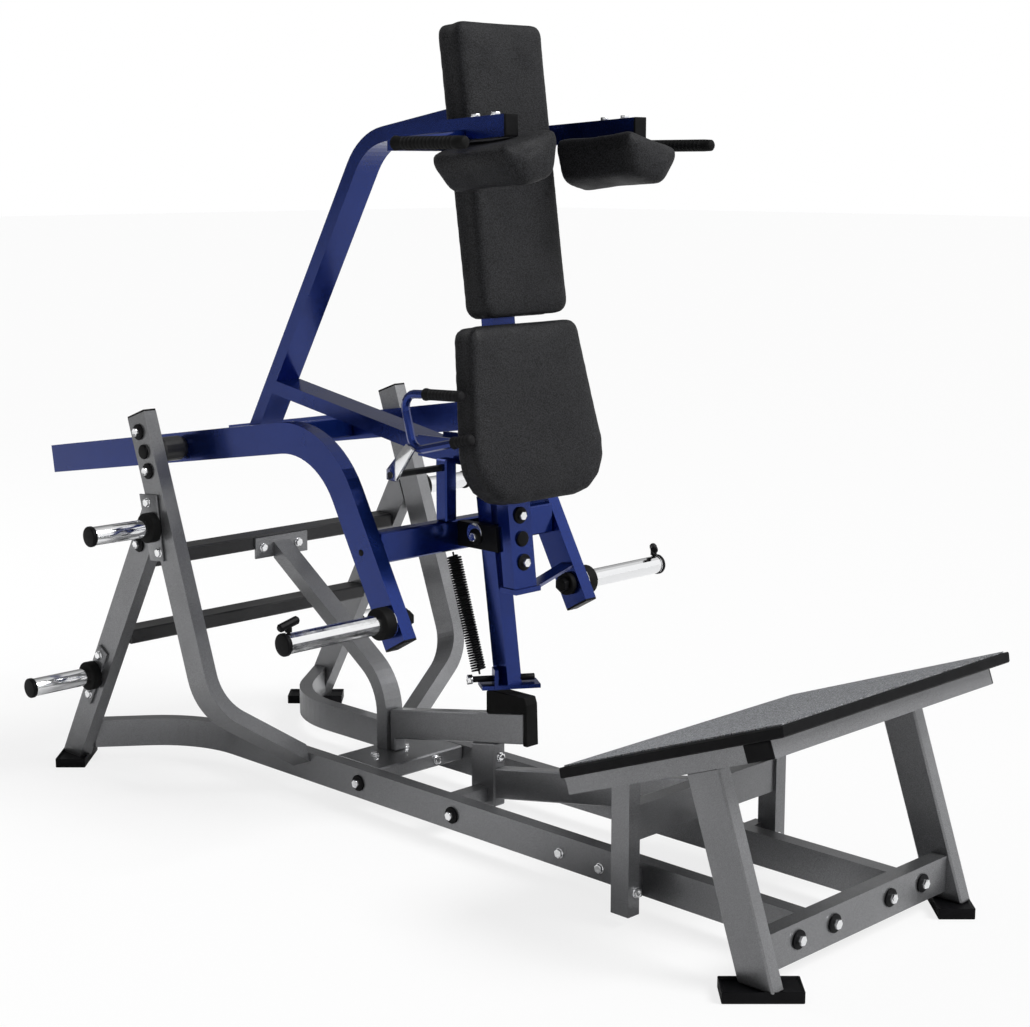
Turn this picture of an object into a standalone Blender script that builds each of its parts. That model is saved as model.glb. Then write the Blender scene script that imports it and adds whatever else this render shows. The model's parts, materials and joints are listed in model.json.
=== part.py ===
"""Plate-loaded V-squat machine: a grey floor frame with a sloping foot platform, and a blue
lever frame with pads that swings on a shaft between two uprights.

Metres, +Z up. X runs across the machine and +Y to its rear. The origin is on the floor, in the
middle of the machine's bounding box. Side views are given as (y, z) measured from the front
edge of the front legs, and the empty MACHINE moves them all to that origin.
"""
import math

import bmesh
import bpy
from mathutils import Vector

# Driving dimensions
MID_Y = 1.3553  # from the front legs' front edge to the middle of the whole length
GAP = 0.0003  # between pieces that touch
TUBE = 0.08  # wide side of the rectangular tube
SLIM = 0.04  # narrow side of the rectangular tube
EDGE = 0.004  # rounding of the tubes' edges

PIVOT_Y, PIVOT_Z = 2.086, 0.963  # lever shaft
HANDLE_Y, HANDLE_Z = 1.31, 0.962  # release handle's shaft
PROP_LEAN = math.radians(7.8)  # the prop's top leans back
PROP_SIZE = 0.05
PROP_FOOT = Vector((0.83, -0.558)).normalized()  # long side of the prop's foot plate
SPRING_TOP = (-0.066, 1.302, 0.7412)
LOCK_X = 0.66  # lock pins on the weight horns

RAIL_X, RAIL_LOW, RAIL_HIGH = 0.175, 0.047, 0.128
RAIL_CORNER_Y, RAIL_BEND = 2.262, 0.33
LEG_IN, LEG_OUT = 0.436, 0.474  # rear legs
UPRIGHT_TOP = (0.4535, 2.1225, 1.06)
UPRIGHT_CORNER = (0.4555, 1.848, 0.29)
UPRIGHT_END = (0.15, 1.78, 0.082)
UPRIGHT_BEND = 0.16
BOARD_SLOPE = math.tan(math.radians(20.1))
BOARD_REAR_Y, BOARD_REAR_Z, BOARD_FRONT_Y, BOARD_HALF = 0.575, 0.3976, -0.042, 0.43
BOARD_THICK, MAT_THICK = 0.026, 0.0033
RUNNER_IN, RUNNER_OUT = 0.33, 0.41  # platform subframe
ARM_IN, ARM_OUT = 0.309, 0.349
ARM_BEND, MAST_BEND = 0.24, 0.18
HORN_R = 0.025
HORN_Y, HORN_Z = 1.24, 0.608
SPINE_FOOT_Y, SPINE_FOOT_Z, SPINE_LEAN, SPINE_TOP_Z = 1.10, 0.665, 0.1176, 1.87
SPRING_TURNS, SPRING_R, SPRING_WIRE = 32, 0.0172, 0.0025
CURL_POINTS = 9

for old in list(bpy.data.objects):
    bpy.data.objects.remove(old, do_unlink=True)


def material(name, colour, roughness, metallic):
    made = bpy.data.materials.new(name)
    made.use_nodes = True
    shader = made.node_tree.nodes["Principled BSDF"]
    shader.inputs["Base Color"].default_value = (*colour, 1)
    shader.inputs["Roughness"].default_value = roughness
    shader.inputs["Metallic"].default_value = metallic
    made.diffuse_color = (*colour, 1)
    return made


GREY = material("grey_metallic_paint", (0.13, 0.135, 0.14), 0.38, 0.7)
DARK = material("dark_grey_paint", (0.045, 0.045, 0.048), 0.42, 0.5)
BLUE = material("blue_metallic_paint", (0.006, 0.02, 0.13), 0.25, 0.6)
CHROME = material("chrome", (0.75, 0.75, 0.76), 0.1, 1.0)
BLACK = material("black_plastic", (0.012, 0.012, 0.013), 0.45, 0.0)
RUBBER = material("black_rubber", (0.01, 0.01, 0.01), 0.7, 0.0)
PAD = material("black_upholstery", (0.018, 0.018, 0.019), 0.75, 0.0)
MAT = material("speckled_grip_mat", (0.09, 0.095, 0.1), 0.85, 0.0)


def empty(name, spot, parent=None):
    made = bpy.data.objects.new(name, None)
    bpy.context.scene.collection.objects.link(made)
    made.empty_display_size = 0.1
    made.parent = parent
    made.location = Vector(spot)
    if parent:
        made.location -= SPOTS.get(parent.name, Vector())
    SPOTS[name] = Vector(spot)
    return made


SPOTS = {}
MACHINE = empty("MACHINE", (0, 0, 0))
MACHINE.location = (0, -MID_Y, 0)
LEVER = empty("LEVER_AXIS", (0, PIVOT_Y, PIVOT_Z), MACHINE)
HANDLE = empty("HANDLE_AXIS", (0, HANDLE_Y, HANDLE_Z), LEVER)
PROP = empty("PROP_AXIS", (0, 1.2, 0.6), LEVER)


def round_edges(made, width, segments=1):
    modifier = made.modifiers.new("rounded edges", "BEVEL")
    modifier.width = width
    modifier.segments = segments
    modifier.limit_method = "ANGLE"
    modifier.angle_limit = math.radians(50)


def add(name, mesh, paint, parent=MACHINE, spot=None, bevel=0.0, smooth=False):
    """Makes the object from a bmesh in machine coordinates, with its origin at spot."""
    bmesh.ops.recalc_face_normals(mesh, faces=mesh.faces)
    if spot is None:
        corners = [v.co for v in mesh.verts]
        low = Vector([min(c[i] for c in corners) for i in range(3)])
        high = Vector([max(c[i] for c in corners) for i in range(3)])
        spot = (low + high) / 2
    spot = Vector(spot)
    bmesh.ops.translate(mesh, verts=mesh.verts, vec=-spot)
    data = bpy.data.meshes.new(name)
    mesh.to_mesh(data)
    mesh.free()
    data.materials.append(paint)
    made = bpy.data.objects.new(name, data)
    bpy.context.scene.collection.objects.link(made)
    made.parent = parent
    made.location = spot - SPOTS[parent.name]
    if bevel:
        round_edges(made, bevel)
    if smooth:
        data.shade_smooth()
        data.set_sharp_from_angle(angle=math.radians(40))
    return made


def prism(outline, axis, low, high):
    """Extrudes an outline along an axis. It is (y, z) for X, (x, z) for Y and (x, y) for Z."""
    mesh = bmesh.new()
    place = {
        "X": lambda a, b, c: (c, a, b),
        "Y": lambda a, b, c: (a, c, b),
        "Z": lambda a, b, c: (a, b, c),
    }[axis]
    face = mesh.faces.new([mesh.verts.new(place(a, b, low)) for a, b in outline])
    grown = bmesh.ops.extrude_face_region(mesh, geom=[face])
    moved = [v for v in grown["geom"] if isinstance(v, bmesh.types.BMVert)]
    step = Vector(place(0, 0, high - low))
    bmesh.ops.translate(mesh, verts=moved, vec=step)
    return mesh


def box(x0, x1, y0, y1, z0, z1):
    return prism([(y0, z0), (y1, z0), (y1, z1), (y0, z1)], "X", x0, x1)


def fillet(points, radius, steps=8):
    """The 2-D or 3-D path through the points, with each inner corner rounded to the radius."""
    path = [Vector(points[0])]
    for before, corner, after in zip(points, points[1:], points[2:]):
        corner = Vector(corner)
        into = (corner - Vector(before)).normalized()
        out = (Vector(after) - corner).normalized()
        turn = into.angle(out)
        reach = radius * math.tan(turn / 2)
        start = corner - into * reach
        side = (out - into * into.dot(out)).normalized()
        centre = start + side * radius
        for k in range(steps + 1):
            a = turn * k / steps
            path.append(centre + (into * math.sin(a) - side * math.cos(a)) * radius)
    path.append(Vector(points[-1]))
    return path


def ribbon(points, radius, width, steps=8):
    """The outline of a bar of this width along a 2-D path."""
    path = fillet(points, radius, steps)
    left = []
    right = []
    for i, spot in enumerate(path):
        along = (path[min(i + 1, len(path) - 1)] - path[max(i - 1, 0)]).normalized()
        across = Vector((-along.y, along.x)) * width / 2
        left.append(tuple(spot + across))
        right.append(tuple(spot - across))
    return left + right[::-1]


def sweep(path, normal, half_in, half_out):
    """A rectangular bar along a flat 3-D path whose plane has this normal."""
    mesh = bmesh.new()
    rings = []
    for i, spot in enumerate(path):
        along = (path[min(i + 1, len(path) - 1)] - path[max(i - 1, 0)]).normalized()
        side = normal.cross(along).normalized() * half_in
        up = normal * half_out
        corners = [spot + side + up, spot - side + up, spot - side - up, spot + side - up]
        rings.append([mesh.verts.new(c) for c in corners])
    join_rings(mesh, rings)
    return mesh


def join_rings(mesh, rings):
    mesh.faces.new(rings[0])
    for first, second in zip(rings, rings[1:]):
        for i in range(len(first)):
            j = (i + 1) % len(first)
            mesh.faces.new([first[i], first[j], second[j], second[i]])
    mesh.faces.new(rings[-1][::-1])


def trim(mesh, spot, normal):
    """Cuts off what lies beyond the plane on its normal's side, and closes the cut."""
    geom = mesh.verts[:] + mesh.edges[:] + mesh.faces[:]
    cut = bmesh.ops.bisect_plane(
        mesh, geom=geom, plane_co=spot, plane_no=normal, clear_outer=True
    )
    edges = [e for e in cut["geom_cut"] if isinstance(e, bmesh.types.BMEdge)]
    bmesh.ops.edgeloop_fill(mesh, edges=edges)
    return mesh


def turned(profile, start, direction, segments=20, mesh=None):
    """A round piece from (distance along the axis, radius) pairs."""
    mesh = mesh or bmesh.new()
    turn = Vector(direction).to_track_quat("Z", "Y")
    rings = []
    for distance, radius in profile:
        ring = []
        for k in range(segments):
            a = 2 * math.pi * (k + 0.5) / segments
            local = Vector((radius * math.cos(a), radius * math.sin(a), distance))
            ring.append(mesh.verts.new(Vector(start) + turn @ local))
        rings.append(ring)
    join_rings(mesh, rings)
    return mesh


def boolean(made, cutter, operation):
    cutter.hide_render = True
    cutter.display_type = "WIRE"
    modifier = made.modifiers.new(cutter.name, "BOOLEAN")
    modifier.operation = operation
    modifier.solver = "EXACT"
    modifier.object = cutter


WASHER = [(-0.004, 0.021), (0.0045, 0.021), (0.0045, 0.0095), (0.0125, 0.0095), (0.0145, 0.007)]
PLAIN = [(-0.004, 0.0095), (0.0065, 0.0095), (0.008, 0.007)]
CAP = [(-0.004, 0.0195), (0.004, 0.0195), (0.006, 0.015)]


def fasten(made, spots, direction, profile=WASHER, parent=MACHINE):
    """Joins bolt heads to a piece. Each spot lies on its surface."""
    mesh = bmesh.new()
    for spot in spots:
        turned(profile, spot, direction, 10, mesh)
    heads = add(f"{made.name}_heads_{len(made.modifiers)}", mesh, CHROME, parent)
    boolean(made, heads, "UNION")


def bore(made, start, direction, radius, length, parent):
    cutter = add(
        f"{made.name}_bore", turned([(0, radius), (length, radius)], start, direction, 16), CHROME, parent
    )
    boolean(made, cutter, "DIFFERENCE")


def board_z(y):
    """Height of the foot platform's top face."""
    return BOARD_REAR_Z + BOARD_SLOPE * (BOARD_REAR_Y - y)


def base_rail(side, label):
    x = RAIL_X * side
    away = Vector((0.785 * side, 0.619)) * 0.5
    path = [(x, 0.0853), (x, RAIL_CORNER_Y), (x + away.x, RAIL_CORNER_Y + away.y)]
    outline = ribbon([Vector(p) for p in path], RAIL_BEND, SLIM, 10)
    mesh = prism(outline, "Z", RAIL_LOW, RAIL_HIGH)
    trim(mesh, (side * (LEG_IN - GAP), 0, 0), (side, 0, 0))
    rail = add(f"base_rail_{label}", mesh, GREY)
    face = side * (RAIL_X + SLIM / 2)
    fasten(rail, [(face, 1.54, 0.089), (face, 1.173, 0.087)], (side, 0, 0))
    fasten(rail, [(face, 0.791, 0.083), (face, 0.659, 0.079)], (side, 0, 0), PLAIN)


def upright(side, label):
    points = [Vector((x * side, y, z)) for x, y, z in (UPRIGHT_TOP, UPRIGHT_CORNER, UPRIGHT_END)]
    path = fillet(points, UPRIGHT_BEND, 10)
    normal = (points[1] - points[0]).cross(points[2] - points[1]).normalized()
    mesh = sweep(path, normal, SLIM / 2, TUBE / 2)
    trim(mesh, (side * (RAIL_X + SLIM / 2 + GAP), 0, 0), (-side, 0, 0))
    piece = add(f"upright_{label}", mesh, GREY)
    face = side * 0.4738
    fasten(piece, [(face, 2.109, 1.015), (face, 2.07, 0.912)], (side, 0, 0))
    fasten(piece, [(face, PIVOT_Y, PIVOT_Z)], (side, 0, 0), CAP)


def rear_leg(side, label):
    outline = [(2.4675, 0.0203), (2.5577, 0.0203), (2.092, 0.8295), (2.0532, 0.7275)]
    low, high = sorted((side * LEG_IN, side * LEG_OUT))
    piece = add(f"rear_leg_{label}", prism(outline, "X", low, high), GREY)
    face = side * LEG_OUT
    fasten(piece, [(face, 2.125, 0.703)], (side, 0, 0))


def turned_box(x, y, along, half_long, half_wide):
    """The plan of a rectangle around (x, y) whose long side follows a direction."""
    along = Vector(along).normalized()
    across = Vector((-along.y, along.x))
    signs = ((-1, -1), (1, -1), (1, 1), (-1, 1))
    return [tuple(Vector((x, y)) + along * half_long * a + across * half_wide * b) for a, b in signs]


def foot(name, x, y, along):
    """A foot plate, set at 45 degrees to the frame."""
    add(name, prism(turned_box(x, y, along, 0.088, 0.043), "Z", 0, 0.02), BLACK, bevel=0.003)


def storage_horn(name, side, y, z, root, tip, plate, spots):
    """A peg for spare plates with its rubber stop, end cap and bolted root plate."""
    face = root + 0.006
    length = tip - face
    profile = [
        (-0.001, 0.038), (0.004, 0.041), (0.024, 0.041), (0.028, 0.037), (0.028, HORN_R),
        (length - 0.012, HORN_R), (length - 0.012, 0.0265), (length - 0.003, 0.0265),
        (length, 0.022),
    ]
    horn = add(name, turned(profile, (side * face, y, z), (side, 0, 0)), CHROME, smooth=True)
    low, high = sorted((side * root, side * face))
    boolean(horn, add(f"{name}_plate", prism(plate, "X", low, high), GREY), "UNION")
    fasten(horn, [(side * face, *spot) for spot in spots], (side, 0, 0), PLAIN)


def floor_frame():
    for side, label in ((-1, "left"), (1, "right")):
        base_rail(side, label)
        upright(side, label)
        rear_leg(side, label)
        foot(f"rear_foot_{label}", side * 0.455, 2.515, (-side, 1))
        upper = [(2.028, 0.851), (2.004, 0.672), (2.064, 0.666), (2.106, 0.846)]
        spots = [(2.067, 0.827), (2.019, 0.695)]
        storage_horn(f"storage_horn_upper_{label}", side, 2.043, 0.762, 0.4758, 0.688, upper, spots)
        lower = [(2.335, 0.383), (2.297, 0.361), (2.393, 0.196), (2.431, 0.218)]
        spots = [(2.3345, 0.352), (2.3935, 0.2275)]
        storage_horn(f"storage_horn_lower_{label}", side, 2.364, 0.2895, LEG_OUT + GAP, 0.694, lower, spots)
    inner = LEG_IN - GAP
    add("rear_cross_upper", box(-inner, inner, 2.105, 2.18, 0.636, 0.676), DARK, bevel=EDGE)
    add("rear_cross_lower", box(-inner, inner, 2.24, 2.315, 0.392, 0.432), DARK, bevel=EDGE)


def centre_frame():
    face = 2.105 - GAP - 0.006
    path = [Vector((2.15, 0.6637)), Vector((1.632, 0.3114)), Vector((1.632, 0.1283))]
    mesh = trim(prism(ribbon(path, 0.16, SLIM), "X", -0.03, 0.03), (0, face + 0.001, 0), (0, 1, 0))
    brace = add("centre_brace", mesh, GREY)
    plate = add("brace_plate", box(-0.095, 0.095, face, face + 0.006, 0.61, 0.67), GREY)
    boolean(brace, plate, "UNION")
    fasten(brace, [(-0.068, face, 0.64), (0.06, face, 0.64)], (0, -1, 0), PLAIN)
    tie = RAIL_X - SLIM / 2 - GAP
    add("centre_tie", box(-tie, tie, 1.50, 1.68, 0.088, 0.128), GREY, bevel=EDGE)
    slope = -0.179
    beam = [
        (1.6092, 0.1283), (1.6092, 0.243), (1.0903, 0.336), (1.0903, 0.254), (1.588, 0.165),
        (1.588, 0.1283),
    ]
    add("stop_beam", prism(beam, "X", -0.02, 0.02), GREY, bevel=0.003)
    top = 0.336 + 2 * GAP
    bumper = [
        (1.09, top), (1.225, top + slope * 0.135), (1.225, 0.37), (1.217, 0.378),
        (1.085, 0.378), (1.078, 0.36), (1.074, 0.25), (1.09, 0.25),
    ]
    add("stop_bumper", prism(bumper, "X", -0.0215, 0.0215), RUBBER, bevel=0.002)
    post = [(1.195, 0.06), (1.285, 0.06), (1.285, 0.2185), (1.195, 0.2345)]
    piece = add("stop_post", prism(post, "X", -0.0205, 0.0205), GREY, bevel=EDGE)
    fasten(piece, [(0, 1.195, 0.194)], (0, -1, 0), PLAIN)
    boolean(piece, add("stop_post_tie", box(-tie, tie, 1.22, 1.26, 0.07, 0.11), GREY), "UNION")
    run = [(1.1947, 0.084), (1.1947, 0.166), (0.5303, 0.2875), (0.5303, 0.2055)]
    add("centre_tube", prism(run, "X", -0.02, 0.02), GREY, bevel=0.003)


def platform():
    rear = (BOARD_REAR_Y, board_z(BOARD_REAR_Y))
    front = (BOARD_FRONT_Y, board_z(BOARD_FRONT_Y))
    low_front, low_rear = BOARD_FRONT_Y - 0.004, BOARD_REAR_Y - 0.006
    board = [
        rear, front,
        (low_front, board_z(low_front) - BOARD_THICK), (low_rear, board_z(low_rear) - BOARD_THICK),
    ]
    add("platform_board", prism(board, "X", -BOARD_HALF, BOARD_HALF), BLACK, bevel=0.003)
    lean = math.atan(BOARD_SLOPE)
    lift, top = GAP / math.cos(lean), MAT_THICK / math.cos(lean)
    near, far = BOARD_FRONT_Y + 0.01, BOARD_REAR_Y - 0.01
    mat = [(y, board_z(y) + up) for y, up in ((near, lift), (far, lift), (far, top), (near, top))]
    add("platform_mat", prism(mat, "X", -BOARD_HALF + 0.01, BOARD_HALF - 0.01), MAT)
    under = BOARD_THICK + GAP
    deep = under + SLIM / math.cos(lean)
    cut = SLIM * math.sin(lean)

    def sloped_tube(front, rear):
        """Side view of a tube under the board, with ends square to it."""
        return [
            (front, board_z(front) - under), (rear, board_z(rear) - under),
            (rear - cut, board_z(rear - cut) - deep), (front - cut, board_z(front - cut) - deep),
        ]

    subframe = add("platform_subframe", prism(sloped_tube(0.0, 0.068), "X", -RUNNER_OUT, RUNNER_OUT), GREY)
    half = 0.26
    support = add("platform_support", box(-half, half, 0.49, 0.53, 0.2055, 0.2885), GREY)
    for side, label in ((-1, "left"), (1, "right")):
        low, high = sorted((side * RUNNER_IN, side * (RUNNER_OUT - 0.0005)))
        runner = add(f"platform_runner_{label}", prism(sloped_tube(0.0675, 0.573), "X", low, high), GREY)
        boolean(subframe, runner, "UNION")
        low, high = sorted((side * 0.34, side * 0.38))
        drop = deep + GAP
        rear, front = 0.246, 0.158
        leg = [(0.0, 0.0203), (0.097, 0.0203), (rear, board_z(rear) - drop), (front, board_z(front) - drop)]
        add(f"front_leg_{label}", prism(leg, "X", low, high), GREY, bevel=EDGE)
        foot(f"front_foot_{label}", side * 0.36, 0.048, (side, 1))
        low, high = sorted((side * 0.254, side * 0.292))
        near, far = 0.483, 0.537
        stub = [(near, 0.03), (far, 0.03), (far, board_z(far) - under), (near, board_z(near) - under)]
        boolean(support, add(f"short_leg_{label}", prism(stub, "X", low, high), GREY), "UNION")
        low, high = sorted((side * (RAIL_X + SLIM / 2 + GAP), side * 0.27))
        plate = add(f"short_leg_plate_{label}", box(low, high, 0.526, 0.556, 0.045, 0.115), GREY)
        boolean(support, plate, "UNION")
        fasten(support, [(side * 0.266, near, 0.0855)], (0, -1, 0), PLAIN)
    bar = add("front_cross_bar", box(-0.3397, 0.3397, 0.045, 0.085, 0.043, 0.13), GREY)
    spots = [(x, 0.045, 0.091) for x in (-0.237, -0.107, 0.107, 0.237)]
    fasten(bar, spots, (0, -1, 0))


def lever_arm(side, label):
    rear_z = 1.030 + 0.154 * (1.653 - 2.75)
    path = [Vector((2.75, rear_z)), Vector((1.4893, 1.0552)), Vector((1.2125, 0.554))]
    low, high = sorted((side * ARM_IN, side * ARM_OUT))
    outline = ribbon(path, ARM_BEND, 0.081, 12)
    arm = add(f"lever_arm_{label}", prism(outline, "X", low, high), BLUE, LEVER)
    bore(arm, (side * (ARM_IN - 0.01), PIVOT_Y, PIVOT_Z), (side, 0, 0), 0.0135, 0.06, LEVER)
    nut = [(-0.004, 0.03), (0.016, 0.03), (0.016, 0.017), (0.03, 0.017), (0.033, 0.014)]
    fasten(arm, [(side * ARM_IN, HORN_Y, HORN_Z)], (-side, 0, 0), nut, LEVER)


def weight_horn(side, label):
    """Main plate horn with its collar, end cap and the bore of its lock pin."""
    profile = [
        (0, 0.04), (0.03, 0.04), (0.033, 0.037), (0.033, HORN_R), (0.318, HORN_R),
        (0.318, 0.027), (0.327, 0.027), (0.331, 0.023),
    ]
    start = (side * (ARM_OUT + GAP), HORN_Y, HORN_Z)
    horn = add(f"weight_horn_{label}", turned(profile, start, (side, 0, 0)), CHROME, LEVER, smooth=True)
    bore(horn, (side * LOCK_X, HORN_Y, HORN_Z - 0.05), (0, 0, 1), 0.0055, 0.1, LEVER)
    foot_spot = (side * LOCK_X, HORN_Y, HORN_Z - 0.015)
    pin = [(0, 0.0035), (0.003, 0.0045), (0.044, 0.0045), (0.044, 0.009), (0.06, 0.009)]
    piece = add(f"lock_pin_{label}", turned(pin, foot_spot, (0, 0, 1), 10), BLACK, LEVER, foot_spot)
    grip = [(0, 0.007), (0.004, 0.0105), (0.056, 0.0105), (0.06, 0.007)]
    along = Vector((1, 0, 0.25)) if side < 0 else Vector((0.7, 0.7, 0))
    start = Vector(foot_spot) + Vector((0, 0, 0.063)) - along.normalized() * 0.03
    bar = add(f"lock_pin_bar_{label}", turned(grip, start, along, 10), BLACK, LEVER)
    boolean(piece, bar, "UNION")


def spine_y(z):
    """Front face of the spine tube."""
    return SPINE_FOOT_Y + SPINE_LEAN * (z - SPINE_FOOT_Z)


def lever_frame():
    for side, label in ((-1, "left"), (1, "right")):
        lever_arm(side, label)
        weight_horn(side, label)
        pin = [
            (0, 0.028), (0.012, 0.034), (0.07, 0.034), (0.0835, 0.028), (0.0835, 0.0125), (0.118, 0.0125),
        ]
        start = (side * 0.4328, PIVOT_Y, PIVOT_Z)
        add(f"pivot_shaft_{label}", turned(pin, start, (-side, 0, 0)), DARK, smooth=True)
    inner = ARM_IN - GAP
    add("lever_cross_lower", box(-inner, inner, 1.30, 1.34, 0.742, 0.822), BLUE, LEVER, bevel=EDGE)
    lean = math.atan(0.154)
    along = Vector((math.cos(lean), -math.sin(lean)))
    up = Vector((math.sin(lean), math.cos(lean)))
    middle = Vector((2.178, 0.949))
    signs = ((-0.04, -0.03), (0.04, -0.03), (0.04, 0.03), (-0.04, 0.03))
    corners = [tuple(middle + along * a + up * b) for a, b in signs]
    add("lever_cross_rear", prism(corners, "X", -inner, inner), BLUE, LEVER, bevel=EDGE)
    path = [Vector((2.23, 0.8768)), Vector((1.671, 1.7948)), Vector((1.24, 1.8629))]
    mesh = prism(ribbon(path, MAST_BEND, SLIM), "X", -0.041, 0.041)
    foot_spot = middle + up * (0.03 + GAP)
    trim(mesh, (0, foot_spot.x, foot_spot.y), (0, -up.x, -up.y))
    trim(mesh, (0, spine_y(1.85) + SLIM + GAP, 1.85), (0, -1, SPINE_LEAN))
    add("mast", mesh, BLUE, LEVER)
    beam = prism([(2.2, 1.150), (2.2, 1.110), (1.36, 0.9663), (1.36, 1.0063)], "X", -0.043, 0.043)
    face = Vector((0, 2.132 - 0.001, 1.0))
    trim(beam, face, (0, 0.854, 0.520))
    brace = add("brace_beam", beam, BLUE, LEVER)
    for side, label in ((-1, "left"), (1, "right")):
        low, high = sorted((side * 0.0403, side * 0.0503))
        plate = [(spine_y(0.97) + 0.002, 0.96), (1.45, 0.975), (1.45, 1.03), (spine_y(1.02) + 0.002, 1.035)]
        boolean(brace, add(f"hip_plate_{label}", prism(plate, "X", low, high), BLUE, LEVER), "UNION")
    ends = ((SPINE_FOOT_Z, 0), (SPINE_FOOT_Z, SLIM), (SPINE_TOP_Z, SLIM), (SPINE_TOP_Z, 0))
    spine = [(spine_y(z) + back, z) for z, back in ends]
    tube = add("spine", prism(spine, "X", -0.04, 0.04), BLUE, LEVER)
    for z, profile in ((0.85, WASHER), (0.79, CAP), (0.73, WASHER)):
        fasten(tube, [(0, spine_y(z) + 0.0005, z)], (0, -1, 0), profile, LEVER)
    plate = box(-0.045, 0.045, 1.09, 1.1475, 0.652, SPINE_FOOT_Z - GAP)
    piece = add("spine_foot_plate", plate, BLUE, LEVER)
    strip = [(0.03, 1.095), (0.03, 1.135), (0.3087, 1.27), (0.3087, 1.225)]
    boolean(piece, add("spine_tie", prism(strip, "Z", 0.6535, 0.6615), BLUE, LEVER), "UNION")


def yoke():
    back = spine_y(1.822) + SLIM + GAP
    cross = add("yoke", box(-0.246, 0.246, back, back + 0.06, 1.762, 1.822), BLUE, LEVER)
    rise, front, rear = 0.055, 0.93, 1.29
    high, low = 1.844, 1.793
    drop = rise * (rear - front)
    for side, label in ((-1, "left"), (1, "right")):
        inner, outer = sorted((side * 0.204, side * 0.246))
        arm = [(front, high), (rear, high - drop), (rear, low - drop), (front, low)]
        boolean(cross, add(f"yoke_arm_{label}", prism(arm, "X", inner, outer), BLUE, LEVER), "UNION")
        spots = [(side * 0.225, y, high - rise * (y - front) - 0.001) for y in (0.978, 1.045)]
        fasten(cross, spots, (0, 0, 1), PLAIN, LEVER)
        grip = [(0, 0.010), (0.004, 0.0145), (0.012, 0.0165), (0.224, 0.0165), (0.232, 0.0145), (0.236, 0.010)]
        handle = add(
            f"shoulder_grip_{label}", turned(grip, (side * 0.43, 1.099, 1.777), (0, -1, 0), 16),
            BLACK, LEVER, smooth=True,
        )
        bar = add(
            f"shoulder_grip_bar_{label}",
            turned([(0, 0.0125), (0.19, 0.0125)], (side * 0.248, 1.07, 1.797), (side, 0, -0.1), 12),
            BLUE, LEVER,
        )
        boolean(handle, bar, "UNION")


def rounded(corners, radii, inset, steps=4):
    """A convex outline, moved inwards by inset, with rounded corners."""
    count = len(corners)
    lines = []
    for i in range(count):
        a = Vector(corners[i])
        b = Vector(corners[(i + 1) % count])
        along = (b - a).normalized()
        lines.append((a + Vector((-along.y, along.x)) * inset, along))
    outline = []
    for i in range(count):
        (p, d), (q, e) = lines[i - 1], lines[i]
        cross = d.x * e.y - d.y * e.x
        t = ((q - p).x * e.y - (q - p).y * e.x) / cross
        corner = p + d * t
        radius = max(radii[i] - inset, 0.006)
        turn = math.atan2(cross, d.dot(e))
        reach = radius * math.tan(turn / 2)
        start = corner - d * reach
        side = Vector((-d.y, d.x))
        for k in range(steps + 1):
            a = turn * k / steps
            outline.append(start + d * (radius * math.sin(a)) + side * (radius * (1 - math.cos(a))))
    return outline


def cushion(name, corners, radii, thick, crown, reach, spot, across, up):
    """A pad with drawn-in sides and a crowned face, on the plane through spot."""
    across = Vector(across).normalized()
    up = Vector(up).normalized()
    out = across.cross(up)
    rings = [
        (0.006, 0), (0.001, 0.004), (0, 0.01), (0.003, thick * 0.45), (0.0005, thick - 0.016),
        (0.002, thick - 0.008), (0.008, thick - 0.0025), (0.018, thick + crown * 0.1),
        (reach * 0.45, thick + crown * 0.62), (reach * 0.75, thick + crown * 0.92),
        (reach, thick + crown),
    ]
    mesh = bmesh.new()
    loops = []
    for inset, height in rings:
        outline = rounded(corners, radii, inset)
        loops.append([mesh.verts.new(Vector(spot) + across * p.x + up * p.y + out * height) for p in outline])
    join_rings(mesh, loops)
    return add(name, mesh, PAD, LEVER, smooth=True)


def pads():
    lean = Vector((0, 0.1405, 0.99))
    back = [(-0.15, -0.382), (0.15, -0.382), (0.15, 0.345), (-0.15, 0.345)]
    cushion("back_pad", back, (0.036, 0.036, 0.028, 0.028), 0.081, 0.007, 0.12,
            (0, 1.2205, 1.725), (1, 0, 0), lean)
    lean = Vector((0, 0.185, 0.983))
    hips = [(-0.25, -0.228), (0.25, -0.228), (0.19, 0.225), (-0.19, 0.225)]
    cushion("hip_pad", hips, (0.125, 0.125, 0.035, 0.035), 0.073, 0.007, 0.12,
            (0, 1.13, 1.112), (1, 0, 0), lean)
    roll = math.radians(14)
    for side, label in ((-1, "left"), (1, "right")):
        shape = [(-0.05, -0.105), (0.05, -0.105), (0.0925, -0.03), (0.0925, 0), (-0.0925, 0), (-0.0925, -0.03)]
        across = Vector((math.cos(roll), 0, -side * math.sin(roll)))
        forward = Vector((0, -1, 0.08)).normalized()
        across = (across - forward * across.dot(forward)).normalized()
        cushion(f"shoulder_pad_{label}", shape, (0.045, 0.045, 0.035, 0.012, 0.012, 0.035), 0.256, 0.005, 0.035,
                (side * 0.218, 1.123, 1.7725), across, forward.cross(across))


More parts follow.
